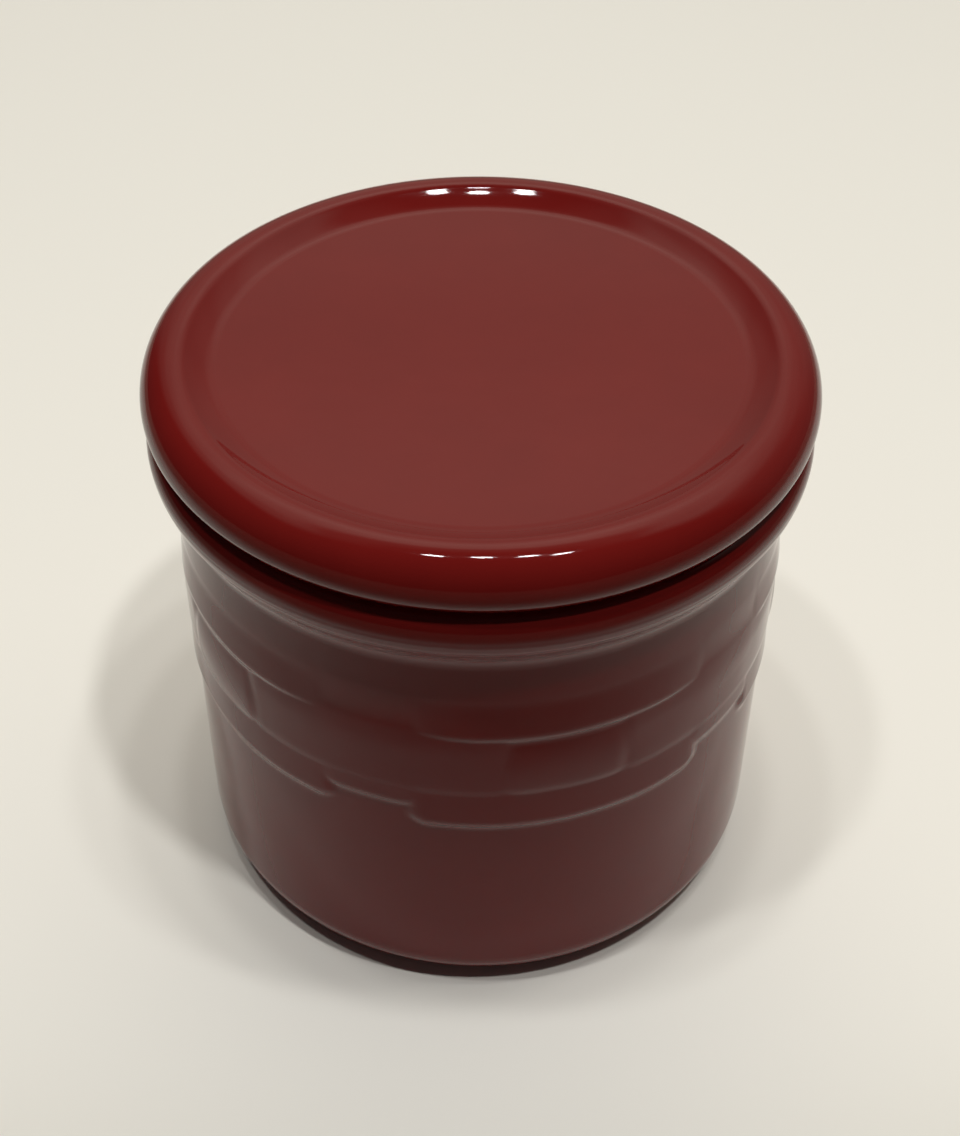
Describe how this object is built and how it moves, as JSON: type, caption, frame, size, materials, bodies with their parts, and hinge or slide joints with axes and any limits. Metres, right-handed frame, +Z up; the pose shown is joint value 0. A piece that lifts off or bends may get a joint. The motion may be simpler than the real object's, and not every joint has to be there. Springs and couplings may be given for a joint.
{
  "type": "covered crock",
  "caption": "Round glazed stoneware crock with a woven relief band, a flared rounded rim and a flat lift-off lid, recessed on top to serve as a coaster.",
  "frame": {"origin": "middle of the foot ring, in the plane that rests on the table", "axes": "+Z up along the pot's axis, from the foot to the lid; -Y is the side that faces the viewer in the picture"},
  "size_m": [0.108, 0.108, 0.1022],
  "materials": {
    "red_glaze": "deep brick red high-gloss glaze over stoneware, bare clay on the foot ring"
  },
  "bodies": {
    "crock": {"crock_body": "red_glaze"},
    "lid": {"lid": "red_glaze"}
  },
  "joints": [
    {"name": "lid_lift", "type": "slide", "parent": "crock", "child": "lid", "axis": [0, 0, 1], "range_m": [0, 0.05]}
  ]
}
